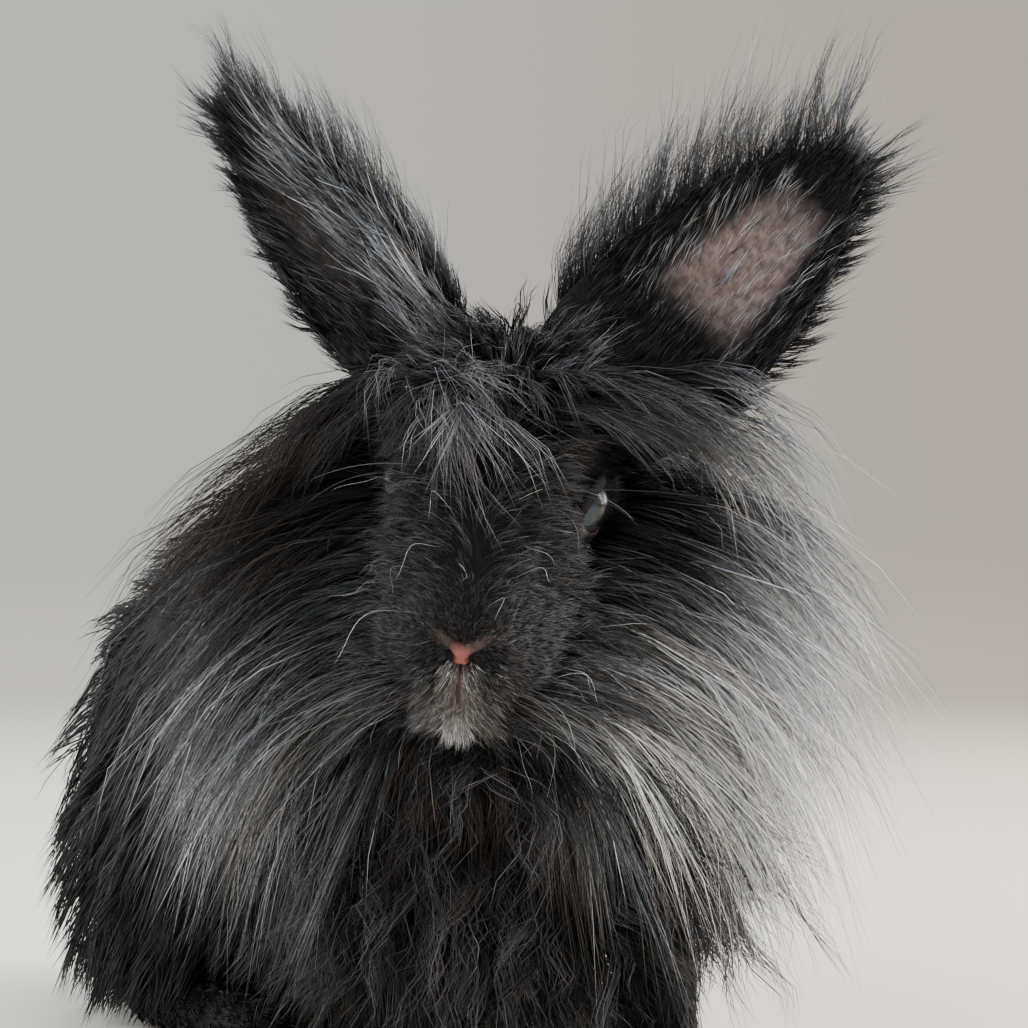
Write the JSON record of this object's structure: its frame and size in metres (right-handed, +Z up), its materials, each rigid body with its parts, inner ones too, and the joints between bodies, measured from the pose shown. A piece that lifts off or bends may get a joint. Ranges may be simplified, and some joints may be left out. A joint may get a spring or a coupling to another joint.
{
  "type": "lionhead rabbit",
  "caption": "Life-size still model of a sitting lionhead rabbit with a long mane, upright ears and its head turned to one side.",
  "frame": {"origin": "middle of the footprint of the whole, at the height of the soles", "axes": "+Z up, -Y the way the body faces, +X the animal's left"},
  "size_m": [0.1768, 0.3384, 0.269],
  "materials": {
    "coat": "short dark hair",
    "mane": "long silvery hair",
    "ear": "short dark hair with a fringe, pinkish skin inside",
    "tail": "tufted hair",
    "eye": "wet and dark",
    "leather": "bare pink skin of nose, lips and ears",
    "lid": "bare dark rim of the lids",
    "claw": "horn",
    "whisker": "stiff pale hair"
  },
  "bodies": {
    "root": {"ear_left": "ear", "ear_right": "ear", "eye_left": "eye", "eye_right": "eye", "foreleg_left": "coat", "foreleg_right": "coat", "head": "coat", "hind_leg_left": "coat", "hind_leg_right": "coat", "neck": "mane", "tail": "tail", "torso": "coat"}
  },
  "joints": []
}
